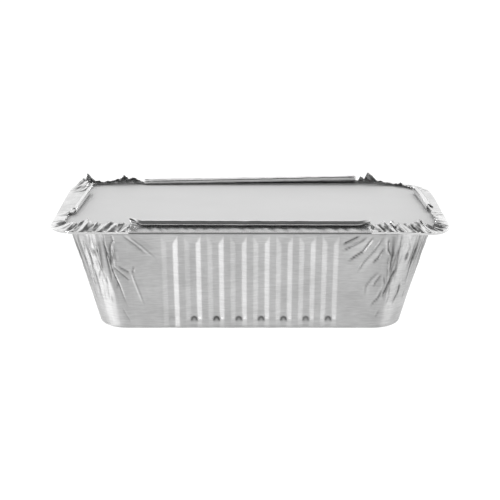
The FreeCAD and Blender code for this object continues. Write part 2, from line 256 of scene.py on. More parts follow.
def corner_creases(side):
    """Random creases round a corner. Short ones lie anywhere, more and longer ones further up. Long ones fan
    down from the mouth."""
    found = []
    for n in range(SHORT_CREASES + LONG_CREASES):
        small = n < SHORT_CREASES
        ranges = SHORT_CREASE if small else LONG_CREASE
        high = rng.random() ** 0.5
        half = rng.uniform(*ranges["half"]) * (0.6 + high if small else 1.0)
        found.append({
            "at": rng.uniform(*CREASED[side]) * mouth_runs[side],
            "z": 2 + 54 * high if small else CREASE_TOP - half * rng.uniform(0.9, 1.6),
            "half": half,
            "slant": math.radians(rng.uniform(*ranges["slant"])),
            "depth": rng.choice((-1, 1)) * rng.uniform(*ranges["depth"]),
            "width": rng.uniform(*ranges["width"]),
            "way": rng.choice((-1, 1)),
            "painted_shade": rng.uniform(*ranges["painted_shade"]),
        })
    return found


creases = [corner_creases(side) for side in range(4)]


def crease_at(side, distance, z):
    """The sum of the random creases at a distance round a corner and a height, and the shade painted along
    their lines there."""
    total, painted_shade = 0.0, 0.0
    for crease in creases[side]:
        x, y = distance - crease["at"], z - crease["z"]
        if abs(x) > crease["half"] * 0.5 + 3 or abs(y) > crease["half"]:
            continue
        s, c = math.sin(crease["slant"]), math.cos(crease["slant"])
        along, across = x * s + y * c, (x * c - y * s) * crease["way"]
        taper = 1 - (along / crease["half"]) ** 2
        if taper > 0:
            total += crease["depth"] * taper * tent(across, STEEP_SIDE, crease["width"])
            painted_shade = max(painted_shade, min(1.0, crease["painted_shade"]) * taper * tent(across, PAINTED_SHADE_WIDTH, PAINTED_SHADE_WIDTH))
    return total, painted_shade


def front_crease_at(x, z):
    """The creases of the front wall's ends at a place, and the shade painted along their lines there. The
    painted shade is darker along a fold inwards than along a ridge."""
    total, painted_shade = 0.0, 0.0
    for points, depth, left, right in FRONT_CREASES:
        nearest = None
        for n, ((x0, z0), (x1, z1)) in enumerate(zip(points, points[1:])):
            dx, dz = x1 - x0, z1 - z0
            t = ((x - x0) * dx + (z - z0) * dz) / (dx * dx + dz * dz)
            t = min(1.0, max(0.0, t))
            ex, ez = x - x0 - t * dx, z - z0 - t * dz
            away = math.copysign(math.hypot(ex, ez), ez * dx - ex * dz)
            if nearest is None or abs(away) < abs(nearest[0]):
                nearest = (away, (n + t) / (len(points) - 1))
        away, share = nearest
        if -left < away < right:
            taper = min(1.0, 5 * share + 0.3, 5 * (1 - share))
            total += depth * taper * tent(away, left, right)
            # the painted shade along a crease: darker for a fold inwards
            dark = min(1.0, 1.3 * abs(depth)) * (1.0 if depth < 0 else 0.6)
            painted_shade = max(painted_shade, dark * taper * tent(away, PAINTED_SHADE_WIDTH, PAINTED_SHADE_WIDTH))
    return total, painted_shade


# The rim hangs a little at both back corners and the front right one: by how much, the corner's way in x and y,
# and the distances from the middle in x and y between which it comes to hang so much.
SAGS = (
    (1.5, (1, 1), (55, 104), (5, 57)),
    (0.9, (-1, 1), (60, 104), (10, 57)),
    (1.1, (1, -1), (75, 104), (25, 57)),
)


def sag_at(x, y):
    """How far the rim hangs lower than true at a place."""
    return sum(drop * smooth(x * way[0], *in_x) * smooth(y * way[1], *in_y) for drop, way, in_x, in_y in SAGS)


def wall_out(z):
    """How far the wall's line lies out from the base outline at a height."""
    return (MOUTH[1] - BASE[1]) / 2 * z / WALL_HEIGHT


WALL_UNEVEN = 0.07  # how far the flat walls stand out and in, beside their grooves
CORNER_UNEVEN = 0.45  # and the corners
GATHERS = (0.06, 0.24)  # how far the corners' gathers stand out at the foot, and more by this at the mouth
CREASES_FADE = 12.0  # the corners' creases run on into the long walls and fade out there over this length
SAG_FROM = 35.0  # the height above which the walls sag with the rim


def wall_point(station, out, z, loose):
    """A point of the wall with its grooves, gathers and creases, and the shade painted there. Loose is how much
    of the gathers and creases shows."""
    size = (BASE[0] + 2 * out, BASE[1] + 2 * out)
    corner = BASE_CORNER + (MOUTH_CORNER - BASE_CORNER) * out / wall_out(WALL_HEIGHT)
    point, normal = on_outline(station, size, corner)
    side, share, along = station["side"], station["share"], station["along"]
    if share is None:
        pressed, painted_shade = groove_reach(side, along, z)
        stand = WALL_UNEVEN * noise.noise(Vector((point.x * 0.06, point.y * 0.06, z * 0.08))) - pressed
        near = smooth(abs(along), TUB_FLAT[side] - CREASES_FADE, TUB_FLAT[side]) if side % 2 == 0 else 0.0
        if near > 0:
            corner_side = side if along > 0 else (side + 3) % 4
            beyond = abs(along) - TUB_FLAT[side]
            distance = beyond if along > 0 else mouth_runs[corner_side] - beyond
            crease, painted_shade_value = crease_at(corner_side, distance, z)
            stand += near * loose * crease
            painted_shade = max(painted_shade, near * loose * painted_shade_value)
    else:
        distance = share * mouth_runs[side]
        eased = min(1.0, 6 * share, 6 * (1 - share))
        swing = (GATHERS[0] + GATHERS[1] * (z / WALL_HEIGHT) ** 1.5) * loose * eased
        crease, painted_shade = crease_at(side, distance, z)
        stand = swing * fold_at(gathers[side], distance) + loose * crease
        uneven = noise.noise(Vector((point.x * 0.05, point.y * 0.05, z * 0.05 + 7)))
        stand += CORNER_UNEVEN * loose * eased * uneven
        painted_shade *= loose
    if point.y < 0:
        crease, painted_shade_value = front_crease_at(point.x, z)
        stand += loose * crease
        painted_shade = max(painted_shade, loose * painted_shade_value)
    point = point + normal * stand
    point.z = z - sag_at(point.x, point.y) * smooth(z, SAG_FROM, SHELF)
    return point, painted_shade


def next_row(mesh, edges, verts, points, closed=True):
    """Draw the sheet's free edge out by one row and set its points in place."""
    made = set(bmesh.ops.extrude_edge_only(mesh, edges=edges)["geom"])
    drawn = []
    for vert, point in zip(verts, points):
        others = (edge.other_vert(vert) for edge in vert.link_edges)
        drawn.append(next(other for other in others if other in made))
        drawn[-1].co = point * MM
    pairs = zip(drawn, drawn[1:] + drawn[:1]) if closed else zip(drawn, drawn[1:])
    return [mesh.edges.get(pair) for pair in pairs], drawn


def first_row(mesh, points):
    """A closed ring of points, from which the sheet is drawn out."""
    verts = [mesh.verts.new(point * MM) for point in points]
    return [mesh.edges.new(pair) for pair in zip(verts, verts[1:] + verts[:1])], verts


def mark(mesh, name, verts, values):
    """Mark the foil at some points for its finish and its painted shade: "crumple" is 0 on smooth walls, 1 in
    the crumpled rim and less than 0 where it is dull, and the painted shade is 1 where the colour is darkened
    most, as in the bottom of a tight fold."""
    layer = mesh.verts.layers.float[name]
    for vert, value in zip(verts, values):
        vert[layer] = value


def new_foil():
    """An empty mesh for a piece of foil, with the two values that its finish and its painted shade go by."""
    mesh = bmesh.new()
    for name in ("crumple", "painted_shade"):
        mesh.verts.layers.float.new(name)
    return mesh


def foil_object(name, mesh, sharp):
    """The finished piece of foil: faces outwards, folds sharp above an angle, and the sheet's thickness."""
    bmesh.ops.recalc_face_normals(mesh, faces=mesh.faces)
    if min(mesh.faces, key=lambda face: face.calc_center_median().z).normal.z > 0:
        bmesh.ops.reverse_faces(mesh, faces=mesh.faces)
    for face in mesh.faces:
        face.smooth = True
    data = bpy.data.meshes.new(name)
    mesh.to_mesh(data)
    mesh.free()
    data.set_sharp_from_angle(angle=math.radians(sharp))
    piece = bpy.data.objects.new(name, data)
    bpy.context.scene.collection.objects.link(piece)
    gauge = piece.modifiers.new("gauge", "SOLIDIFY")
    gauge.thickness = FOIL_GAUGE * MM
    gauge.offset = 0.0
    gauge.use_even_offset = False
    facets = piece.modifiers.new("facets", "WEIGHTED_NORMAL")
    facets.keep_sharp = True
    return piece


# The base's rounding is drawn first, from the floor's edge, then the wall row by row up to the shelf. The rows
# are closer at the grooves' feet and heads.
ROUNDING_ROWS = 4
# how dark the contact shadow painted along the base's rounding is
ROUNDING_PAINTED_SHADOW = 0.12
WALL_ROWS = ((4.0, 1.2), (8.4, 0.45), (30.0, 1.2), (50.0, 0.95), (SHELF, 0.62))  # up to a height, how far apart
LOOSE_FOOT = 0.3  # how much of the gathers and creases shows at the walls' foot
LOOSE_FROM = (4, 22)  # heights between which more of them comes to show
UNDER_RIM_PAINTED_SHADOW = (0.5, 2.5, 1.7)  # how dark the shadow painted under the rim is, and how far below it starts and is in full
DULLED = -0.15  # the finish of the gathered corners, which are duller than the flat walls

lines = tub_stations()
tub_mesh = new_foil()
lean = math.atan(wall_out(WALL_HEIGHT) / WALL_HEIGHT)
turn = math.pi / 2 - lean
inset = BASE_ROUNDING * math.tan(turn / 2)
shares = [line["share"] or 0.0 for line in lines]
dullness = [DULLED * min(1.0, 4 * share, 4 * (1 - share)) for share in shares]
edge_corner = BASE_CORNER - inset  # of the floor's edge
ring = [on_outline(line, (BASE[0] - 2 * inset, BASE[1] - 2 * inset), edge_corner)[0] for line in lines]
for point in ring:
    point.z = FOIL_GAUGE / 2
edges, verts = first_row(tub_mesh, ring)
floor_edges, floor_verts = edges, verts
for n in range(1, ROUNDING_ROWS + 1):
    angle = turn * n / ROUNDING_ROWS
    out = -inset + BASE_ROUNDING * math.sin(angle)
    z = FOIL_GAUGE / 2 + BASE_ROUNDING * (1 - math.cos(angle))
    share = n / ROUNDING_ROWS
    points = []
    for line in lines:
        size = (BASE[0] + 2 * out, BASE[1] + 2 * out)
        plain = on_outline(line, size, edge_corner + (BASE_CORNER - edge_corner) * share)[0]
        points.append(plain.lerp(wall_point(line, out, z, LOOSE_FOOT * share)[0], share))
        points[-1].z = z
    edges, verts = next_row(tub_mesh, edges, verts, points)
    # painted contact shadow along the base's rounding
    mark(tub_mesh, "painted_shade", verts, [ROUNDING_PAINTED_SHADOW] * len(verts))
    mark(tub_mesh, "crumple", verts, dullness)
heights = [z]
while heights[-1] < SHELF - 0.5:
    heights.append(heights[-1] + next(apart for top, apart in WALL_ROWS if heights[-1] <= top))
heights[-1] = SHELF
for z in heights[1:]:
    loose = (LOOSE_FOOT + (1 - LOOSE_FOOT) * smooth(z, *LOOSE_FROM)) * (1 - smooth(z, SHELF - 1.6, SHELF))
    shaped = [wall_point(line, wall_out(z), z, loose) for line in lines]
    edges, verts = next_row(tub_mesh, edges, verts, [point for point, painted_shade in shaped])
    # painted shadow under the rim's overhang
    under_rim_shadow = UNDER_RIM_PAINTED_SHADOW[0] * smooth(z, SHELF - UNDER_RIM_PAINTED_SHADOW[1], SHELF - UNDER_RIM_PAINTED_SHADOW[2])
    mark(tub_mesh, "painted_shade", verts, [max(painted_shade, under_rim_shadow) for point, painted_shade in shaped])
    mark(tub_mesh, "crumple", verts, dullness)

# The floor is drawn in from its edge, each row a smaller copy of the last, and closed in the middle.
FLOOR_SHARES = (0.86, 0.6, 0.3)
FLOOR_UNEVEN = 0.3
edges, verts = floor_edges, floor_verts
for share in FLOOR_SHARES:
    points = []
    for point in ring:
        small = point * share
        uneven = 1 + noise.noise(Vector((small.x * 0.07, small.y * 0.07, 3.0)))
        small.z = point.z + FLOOR_UNEVEN * (1 - share) * uneven
        points.append(small)
    edges, verts = next_row(tub_mesh, edges, verts, points)
bmesh.ops.contextual_create(tub_mesh, geom=edges)
tub = foil_object("foil_tub", tub_mesh, 30)


def node_adder(tree):
    """A short way to add nodes to a material or a world. A value is set on its input, and a socket is joined
    to it."""

    def add(kind, values=None, **settings):
        node = tree.nodes.new(kind)
        for key, value in settings.items():
            setattr(node, key, value)
        for key, value in (values or {}).items():
            if isinstance(value, bpy.types.NodeSocket):
                tree.links.new(value, node.inputs[key])
            else:
                node.inputs[key].default_value = value
        return node

    return add


def new_material(name):
    """A node material, its shader, the short way to add its nodes, and its links."""
    material = bpy.data.materials.new(name)
    material.use_nodes = True
    tree = material.node_tree
    return material, tree.nodes["Principled BSDF"], node_adder(tree), tree.links


def ranged(add, source, low, high, start, end, **settings):
    """A value that goes from start to end while its source goes from low to high."""
    values = {"Value": source, "From Min": low, "From Max": high, "To Min": start, "To Max": end}
    return add("ShaderNodeMapRange", values, **settings).outputs[0]


# Rolled foil is bright metal with fine lines along the way it was rolled. The walls are satin; the rim, pressed
# over and crumpled by hand, is brighter and has small crinkles. Shade is painted into the colour in the bottoms
# of tight folds and creases, under the rim, at the base's rounding and inside the hems.
foil, shader, add, links = new_material("rolled_foil")
shader.inputs["Metallic"].default_value = 1.0
place = add("ShaderNodeTexCoord").outputs["Object"]
wild = add("ShaderNodeAttribute", attribute_name="crumple").outputs["Fac"]
# the shade painted into the colour, marked on the mesh
painted_shade_value = add("ShaderNodeAttribute", attribute_name="painted_shade").outputs["Fac"]
rolled = add("ShaderNodeMapping", {"Vector": place, "Scale": (180.0, 180.0, 1500.0)}).outputs["Vector"]
rolling = add("ShaderNodeTexNoise", {"Vector": rolled, "Scale": 1.0, "Detail": 3.0}).outputs["Fac"]
cloudy = add("ShaderNodeTexNoise", {"Vector": place, "Scale": 60.0, "Detail": 3.0}).outputs["Fac"]
mixed = add("ShaderNodeMath", {0: rolling, 1: cloudy}, operation="ADD").outputs[0]
satin = ranged(add, mixed, 0.7, 1.3, 0.53, 0.69)
bright = add("ShaderNodeMath", {0: wild, 1: 0.2, 2: satin}, operation="MULTIPLY_ADD").outputs[0]
# painted shade: the colour is darkened to 0.08 of itself where the painted shade is darkest
shade = ranged(add, painted_shade_value, 0.0, 1.0, 1.0, 0.08)
tone = add("ShaderNodeMath", {0: bright, 1: shade}, operation="MULTIPLY").outputs[0]
tint = add("ShaderNodeCombineColor", {"Red": tone, "Green": tone, "Blue": tone})
links.new(tint.outputs["Color"], shader.inputs["Base Color"])
rough = ranged(add, wild, -0.5, 1.0, 0.615, 0.15)
rough_spread = add("ShaderNodeMath", {0: cloudy, 1: 0.05, 2: rough}, operation="MULTIPLY_ADD")
links.new(rough_spread.outputs[0], shader.inputs["Roughness"])
shader.inputs["Anisotropic"].default_value = 0.85
surface = add("ShaderNodeNewGeometry").outputs["Normal"]
grain = add("ShaderNodeVectorMath", {0: surface, 1: (1.0, 0.0, 0.0)}, operation="CROSS_PRODUCT").outputs[0]
links.new(grain, shader.inputs["Tangent"])
cells = add("ShaderNodeTexVoronoi", {"Vector": place, "Scale": 420.0}, feature="F1").outputs["Distance"]
folds = add("ShaderNodeMath", {0: cells, 1: wild}, operation="MULTIPLY").outputs[0]
fine = add("ShaderNodeBump", {"Height": rolling, "Strength": 0.5, "Distance": 0.00006}).outputs[0]
crinkled = add("ShaderNodeBump", {"Height": folds, "Strength": 0.1, "Distance": 0.001, "Normal": fine})
links.new(crinkled.outputs["Normal"], shader.inputs["Normal"])
tub.data.materials.append(foil)

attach(tub, "root")
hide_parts("foil_tray")

# The rim of the foil tray: the shelf round the mouth, folded up round the card's edge and in over it. The four
# straight flaps end in a rolled hem, whose ends are open. Between them, the foil that the corners have too much
# of stands in crumpled peaks.

FLANGE = (208.0, 114.0)  # outline of the fold
FLANGE_CORNERS = (15.0, 22.0, 18.0, 15.0)  # after the front, right, back and left side
FOLD_DEPTH = 0.5
# The fold's section, from the shelf round to the flap: out from the outline, above the shelf, and how dark the
# shade painted on it is.
FOLD_SECTION = ((-0.5, 0.0, 1.0), (-0.42, 0.12, 1.0), (-0.3, 0.35, 1.0), (-0.12, 0.7, 0.8), (0.0, 1.0, 0.0),
                (-0.1, 1.1, 0.0))
FOLD_EDGE, FOLD_TOP = FOLD_SECTION[-1][:2]
FOLD_UNEVEN = 0.25  # how far the fold stands out and in where the foil is crumpled
ROOT = SHELF + 0.9  # the level that the flaps' lift is measured from
CARD_TOP = 59.6
OVER_CARD = 0.2  # how far the flaps stay clear of the card

# For each side: where its flap starts and ends along the side, its reach and lift there, and its hem's radius.
FLAPS = (
    {"ends": (-62.0, 62.0), "reach": (7.0, 7.0), "lift": (20.0, 15.5), "hem": 1.6},
    {"ends": (-15.0, 30.0), "reach": (6.5, 9.0), "lift": (5.0, 6.0), "hem": 1.8},
    {"ends": (-62.0, 62.0), "reach": (7.0, 6.5), "lift": (21.0, 2.0), "hem": 1.35},
    {"ends": (-28.0, 21.0), "reach": (12.8, 9.2), "lift": (9.0, 5.0), "hem": 1.4},
)

# The crumpled rim after each side stands in peaks: share of the way round the corner, reach, lift.
PEAKS = (
    ((0.09, 7.5, 33), (0.14, 8.0, 34), (0.19, 7.5, 25), (0.33, 9.5, 32),
     (0.41, 8.0, 22), (0.53, 7.5, 16), (0.74, 7.5, 24), (0.89, 7.0, 18)),
    ((0.12, 8.5, 14), (0.31, 8.0, 8), (0.49, 8.5, 18), (0.67, 7.0, 13), (0.88, 9.5, 53), (0.95, 7.0, 40)),
    ((0.11, 7.5, 33), (0.19, 9.0, 43), (0.28, 7.0, 25), (0.45, 7.0, 20),
     (0.61, 9.5, 55), (0.73, 8.5, 46), (0.86, 11.5, 30)),
    ((0.06, 8.0, 22), (0.20, 7.5, 20), (0.38, 7.5, 24), (0.56, 8.5, 27),
     (0.70, 9.0, 38), (0.77, 7.0, 33), (0.87, 7.5, 36), (0.96, 7.0, 32)),
)
VALLEY_REACH = 0.88  # of the mean of the two peaks beside it
VALLEY_LIFTS = (0.75, 0.6, 0.75, 0.75)  # for each corner, of the mean of the two peaks beside it

RIM_FLAT = (62.0, 14.0, 62.0, 14.0)  # half of the straight part on the front, right, back and left side
FLAP_ROWS = 12
FOLD_ROWS = len(FOLD_SECTION) - 1
SHELF_ROWS = 3
RIM_STEPS = (0.8, 0.45)  # between lines along the flaps, and along the crumpled corners
rim_runs = [sum(corner_run(side, FLANGE, FLANGE_CORNERS[side], RIM_FLAT)) for side in range(4)]

# Two sets of pleats, wide and narrow ones, cross at a small angle in the crumpled corners. A pleat leans along
# the rim by so much for each millimetre that it reaches in. The straight flaps have slight ripples, which lean
# too.
PLEATS_BEYOND = 15.0  # how far the pleats run on past a corner's two ends
RIPPLES_MIDDLE = 80.0  # where the middle of a flap is along its ripples
wide_pleats = [random_folds(rim_runs[side] + 2 * PLEATS_BEYOND, 1.5, 3.6, 0.35) for side in range(4)]
narrow_pleats = [random_folds(rim_runs[side] + 2 * PLEATS_BEYOND, 0.9, 2.4, 0.2) for side in range(4)]
ripples = [random_folds(170, 1.6, 4.2, 0.2) for side in range(4)]
PLEAT_DEPTHS = (1.3, 1.0, 1.0, 0.85)
PLEAT_SLANTS = ((0.5, 0.7), (-0.35, -0.6), (0.45, 0.7), (-0.5, -0.8))
RIPPLE_DEPTHS = (0.2, 0.08, 0.2, 0.08)
# how dark the shade painted in a straight flap's ripples is
RIPPLE_PAINTED_SHADE = 0.15
EDGE_UNEVEN = 0.05  # of the crumpled foil's free edge, as a share of its reach


def flap_at(side, along):
    """A flap's reach, lift and hem at a place along its side."""
    flap = FLAPS[side]
    start, end = flap["ends"]
    t = (along - start) / (end - start)
    reach, lift = [a + t * (b - a) for a, b in (flap["reach"], flap["lift"])]
    return {"reach": reach, "lift": math.radians(lift), "hem": flap["hem"], "flap": side, "place": along}


def rim_knots(side):
    """Round the corner after a side, the places where the rim's form turns: distance, reach and lift. The first
    is this side's flap's end and the last the next flap's start."""
    following = (side + 1) % 4
    first = FLAPS[side]["ends"][1] - RIM_FLAT[side]
    last = rim_runs[side] + FLAPS[following]["ends"][0] + RIM_FLAT[following]
    peaks = PEAKS[side]
    knots = [(0.0, FLAPS[side]["reach"][1], FLAPS[side]["lift"][1])]
    for before, after in zip([(0.0, *peaks[0][1:]), *peaks], [*peaks, (1.0, *peaks[-1][1:])]):
        share, reach, lift = [(a + b) / 2 for a, b in zip(before, after)]
        knots += [(share, VALLEY_REACH * reach, VALLEY_LIFTS[side] * lift), after]
    knots[-1] = (1.0, FLAPS[following]["reach"][0], FLAPS[following]["lift"][0])
    return [(first + share * (last - first), reach, lift) for share, reach, lift in knots]


def crumpled_at(side, knots, distance):
    """The crumpled rim's reach and lift at a distance round the corner."""
    after = bisect.bisect_right([knot[0] for knot in knots], distance)
    (d0, r0, l0), (d1, r1, l1) = knots[after - 1], knots[after]
    t = (distance - d0) / (d1 - d0)
    return {"reach": r0 + t * (r1 - r0), "lift": math.radians(l0 + t * (l1 - l0)), "hem": 0.0, "flap": side,
            "place": distance}


def rim_stations():
    """Every line of the rim, in order round the plan, with the flap or the crumpled foil that stands there."""
    found = []
    for side in range(4):
        steps = round(2 * RIM_FLAT[side] / RIM_STEPS[0])
        for n in range(steps + 1):
            along = RIM_FLAT[side] * (2 * n / steps - 1)
            form = flap_at(side, along)
            found.append({"side": side, "share": None, "along": along, "flat": RIM_FLAT, **form})
        knots = rim_knots(side)
        stops = [0.0] + [knot[0] for knot in knots] + [rim_runs[side]]
        places = []
        for n, (a, b) in enumerate(zip(stops, stops[1:])):
            if b - a > 0.01:
                steps = max(1, round((b - a) / RIM_STEPS[0 if n in (0, len(stops) - 2) else 1]))
                places += [a + (b - a) * n / steps for n in range(1, steps + 1)]
        for distance in places[:-1]:
            following = (side + 1) % 4
            if distance <= knots[0][0] + 0.001:
                form = flap_at(side, RIM_FLAT[side] + distance)
            elif distance >= knots[-1][0] - 0.001:
                form = flap_at(following, distance - rim_runs[side] - RIM_FLAT[following])
            else:
                form = crumpled_at(side, knots, distance)
            share = distance / rim_runs[side]
            found.append({"side": side, "share": share, "along": None, "flat": RIM_FLAT, **form})
    return found


def rim_point(line, out, z):
    """A point of the rim, set out from the fold's outline."""
    point, normal = on_outline(line, FLANGE, FLANGE_CORNERS[line["side"]])
    point = point + normal * out
    point.z = z - sag_at(point.x, point.y)
    return point


def shelf_point(line, t):
    """A point of the shelf, t of the way from the tub's mouth to the fold."""
    station = {**line, "flat": TUB_FLAT} if line["share"] is None else line
    mouth = on_outline(station, MOUTH, MOUTH_CORNER)[0]
    mouth.z = SHELF - sag_at(mouth.x, mouth.y)
    return mouth.lerp(rim_point(line, -FOLD_DEPTH, SHELF), t)


def fold_point(line, t):
    """A point of the fold round the card's edge, t of the way up."""
    uneven = 0.0
    if not line["hem"]:
        uneven = FOLD_UNEVEN * fold_at(wide_pleats[line["flap"]], line["place"] + PLEATS_BEYOND)
    out, height = FOLD_SECTION[round(t * FOLD_ROWS)][:2]
    return rim_point(line, out + uneven * math.sin(math.pi * t), SHELF + height)


def crumple_at(line, t):
    """How far the crumpled foil stands out at t of the way in, in its wide pleats and in its narrow ones."""
    side, inward = line["flap"], line["reach"] * t
    wide_slant, narrow_slant = PLEAT_SLANTS[side]
    wide = fold_at(wide_pleats[side], line["place"] + PLEATS_BEYOND + wide_slant * inward)
    narrow = fold_at(narrow_pleats[side], line["place"] + PLEATS_BEYOND + narrow_slant * inward)
    return wide, narrow


def ripple_at(line, t):
    """How far a straight flap stands out at t of the way in."""
    slid = line["place"] + PLEAT_SLANTS[line["flap"]][0] * line["reach"] * t
    return fold_at(ripples[line["flap"]], slid + RIPPLES_MIDDLE)


def hem_wave(line):
    """The slight waviness of a hem along its length."""
    return HEM_WAVE * noise.noise(Vector((line["place"] * 0.13, line["flap"] * 9.0, 0.0)))


def flap_point(line, t):
    """A point of a flap or of the crumpled rim, t of the way from the fold to its free edge. The pleats stand
    highest near the edge, at 0.7 of the way."""
    reach, lift, side, place = line["reach"], line["lift"], line["flap"], line["place"]
    if line["hem"]:
        bow = RIPPLE_DEPTHS[side] * ripple_at(line, t) * math.sin(math.pi * t) + hem_wave(line) * t
    else:
        wide, narrow = crumple_at(line, t)
        swell = 0.2 + 0.85 * min(t, 0.7) - 0.8 * max(0.0, t - 0.7)
        bow = PLEAT_DEPTHS[side] * swell * (wide + 0.5 * narrow)
        reach *= 1 + EDGE_UNEVEN * t * noise.noise(Vector((place * 0.8, side * 5.0, 0.0)))
    out = FOLD_EDGE - (reach * math.cos(lift) + FOLD_DEPTH + FOLD_EDGE) * t + bow * math.sin(lift)
    z = SHELF + FOLD_TOP + (ROOT + reach * math.sin(lift) - SHELF - FOLD_TOP) * t + bow * math.cos(lift)
    return rim_point(line, out, max(z, CARD_TOP + OVER_CARD + 0.1 * t))


def flap_painted_shade(line, t):
    """The shade painted there, as in a tightly folded place: most in the valleys between pleats."""
    if line["hem"]:
        return RIPPLE_PAINTED_SHADE * ramp(-ripple_at(line, t), 0.25, 0.9) * math.sin(math.pi * t)
    wide, narrow = crumple_at(line, t)
    tight = 1.4 * ramp(-wide, 0.45, 0.9) + 0.8 * ramp(-narrow, 0.5, 0.9)
    return min(1.0, PLEAT_DEPTHS[line["flap"]] * tight) * math.sin(math.pi * t) ** 0.3


# The front hem is pressed flat on top and slopes to the front. Its section runs on from the flap in these
# directions, in degrees from the flap's own, by these lengths. The other hems are rolled round, and pressed a
# little at three corners.
FRONT_HEM = ((20, 1.0), (65, 1.0), (110, 0.9), (160, 1.55), (212, 1.9), (257, 0.4), (302, 0.9))
HEM_ROWS = 14
HEM_TURN = 305.0
HEM_CORNERS = (152, 150, 216, 150)  # how many degrees round its roll a hem's first pressed corner lies
HEM_FLATNESS = 0.11
HEM_UNEVEN = 0.05  # of its radius along its length, as a share
HEM_WAVE = 0.12
HEM_OPEN = 7.0  # how far in from its ends a hem's roll comes open
HEM_OPENING = ((90, 40), (20, 60), (60, 80), (30, 70))  # by how many degrees at its two ends, for each side


def pressed_hem(t, loose):
    """A point of the front hem's section, t of the way along it: inward and upward. Loose is by how many
    degrees it comes open."""
    at = min(t * len(FRONT_HEM), len(FRONT_HEM) - 0.001)
    inward, upward = 0.0, 0.0
    for n, (degrees, length) in enumerate(FRONT_HEM):
        part = length * min(1.0, max(0.0, at - n))
        angle = math.radians(degrees * (1 - loose / HEM_TURN))
        inward, upward = inward + part * math.cos(angle), upward + part * math.sin(angle)
    return inward, upward


def rolled_hem(side, radius, t, loose):
    """A point of another hem's section, t of the way round its roll: inward and upward."""
    turn = math.radians((HEM_TURN - loose) * t)
    pressed = HEM_FLATNESS * math.cos(3 * (turn - math.radians(HEM_CORNERS[side])))
    radius *= 1 + pressed * smooth(t, 0, 0.15)
    return radius * math.sin(turn), radius * (1 - math.cos(turn))


def hem_point(line, t):
    """A point of the hem, t of the way round."""
    lift, side, place = line["lift"], line["flap"], line["place"]
    radius = line["hem"] * (1 + HEM_UNEVEN * noise.noise(Vector((place * 0.22, side * 3.0, 0.0))))
    loose = sum(by * (1 - smooth(abs(place - at), 0, HEM_OPEN))
                for by, at in zip(HEM_OPENING[side], FLAPS[side]["ends"]))
    if side == 0:
        inward, upward = [radius / line["hem"] * size for size in pressed_hem(t, loose)]
    else:
        inward, upward = rolled_hem(side, radius, t, loose)
    inward, upward = line["reach"] + inward, upward + hem_wave(line)
    out = -FOLD_DEPTH - inward * math.cos(lift) + upward * math.sin(lift)
    z = ROOT + inward * math.sin(lift) + upward * math.cos(lift)
    return rim_point(line, out, max(z, CARD_TOP + OVER_CARD))


FLAP_CRUMPLE, HEM_CRUMPLE = 0.7, 0.85  # the finish of the straight flaps and of their hems
CRUMPLED_FOLD_PAINTED_SHADE = 0.3  # the share of the fold's painted shade that is kept where the foil is crumpled
HEM_INSIDE_PAINTED_SHADE = (0.5, 0.68, 0.76)  # how dark the shade painted on a hem's inside is, and the shares of its roll over which it darkens

# The shelf starts a little way inside the tub's mouth, so that no gap shows.
rim_lines = rim_stations()
rim_mesh = new_foil()
edges, verts = first_row(rim_mesh, [shelf_point(line, -0.03) for line in rim_lines])
for shape, rows in ((shelf_point, SHELF_ROWS), (fold_point, FOLD_ROWS), (flap_point, FLAP_ROWS)):
    for n in range(1, rows + 1):
        edges, verts = next_row(rim_mesh, edges, verts, [shape(line, n / rows) for line in rim_lines])
        mark(rim_mesh, "crumple", verts, [FLAP_CRUMPLE if line["hem"] else 1.0 for line in rim_lines])
        # painted shade on the fold's lower half
        if shape is fold_point:
            shares = [1.0 if line["hem"] else CRUMPLED_FOLD_PAINTED_SHADE for line in rim_lines]
            mark(rim_mesh, "painted_shade", verts, [FOLD_SECTION[n][2] * share for share in shares])
        # painted shade in the valleys between pleats and ripples
        if shape is flap_point:
            mark(rim_mesh, "painted_shade", verts, [flap_painted_shade(line, n / rows) for line in rim_lines])

# A hem is drawn out only along its own flap, so that its roll stays an open tube at both ends.
runs = []
start = next(n for n, line in enumerate(rim_lines) if not line["hem"])
for n in [(start + n) % len(rim_lines) for n in range(len(rim_lines))]:
    if rim_lines[n]["hem"]:
        if not rim_lines[n - 1]["hem"]:
            runs.append([])
        runs[-1].append(n)
for run in runs:
    strip = [verts[n] for n in run]
    strip_edges = [rim_mesh.edges.get(pair) for pair in zip(strip, strip[1:])]
    for n in range(1, HEM_ROWS + 1):
        points = [hem_point(rim_lines[m], n / HEM_ROWS) for m in run]
        strip_edges, strip = next_row(rim_mesh, strip_edges, strip, points, closed=False)
        mark(rim_mesh, "crumple", strip, [HEM_CRUMPLE] * len(strip))
        # painted shade on the inside of the hem's roll
        mark(rim_mesh, "painted_shade", strip, [HEM_INSIDE_PAINTED_SHADE[0] * ramp(n / HEM_ROWS, *HEM_INSIDE_PAINTED_SHADE[1:])] * len(strip))
rim = foil_object("foil_rim", rim_mesh, 13)
rim.data.materials.append(foil)

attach(rim, "root")
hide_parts("foil_tray")

# The card lid. It is a blank of white-faced card with rounded corners, cut to lie on the tray's shelf. The
# folded rim holds it down, and two of its corners are bent down a little with the rim.

CARD = (203.0, 109.0)
CARD_CORNER = 17.0
CARD_GAUGE = 0.5
CARD_UNDERSIDE = CARD_TOP - CARD_GAUGE
CARD_CUTS = 8.0  # between the cuts across the mesh that let the card bend
CARD_UNEVEN = 0.06
CARD_FREE = (97.0, 50.0)  # half of the part that the rim doesn't press flat

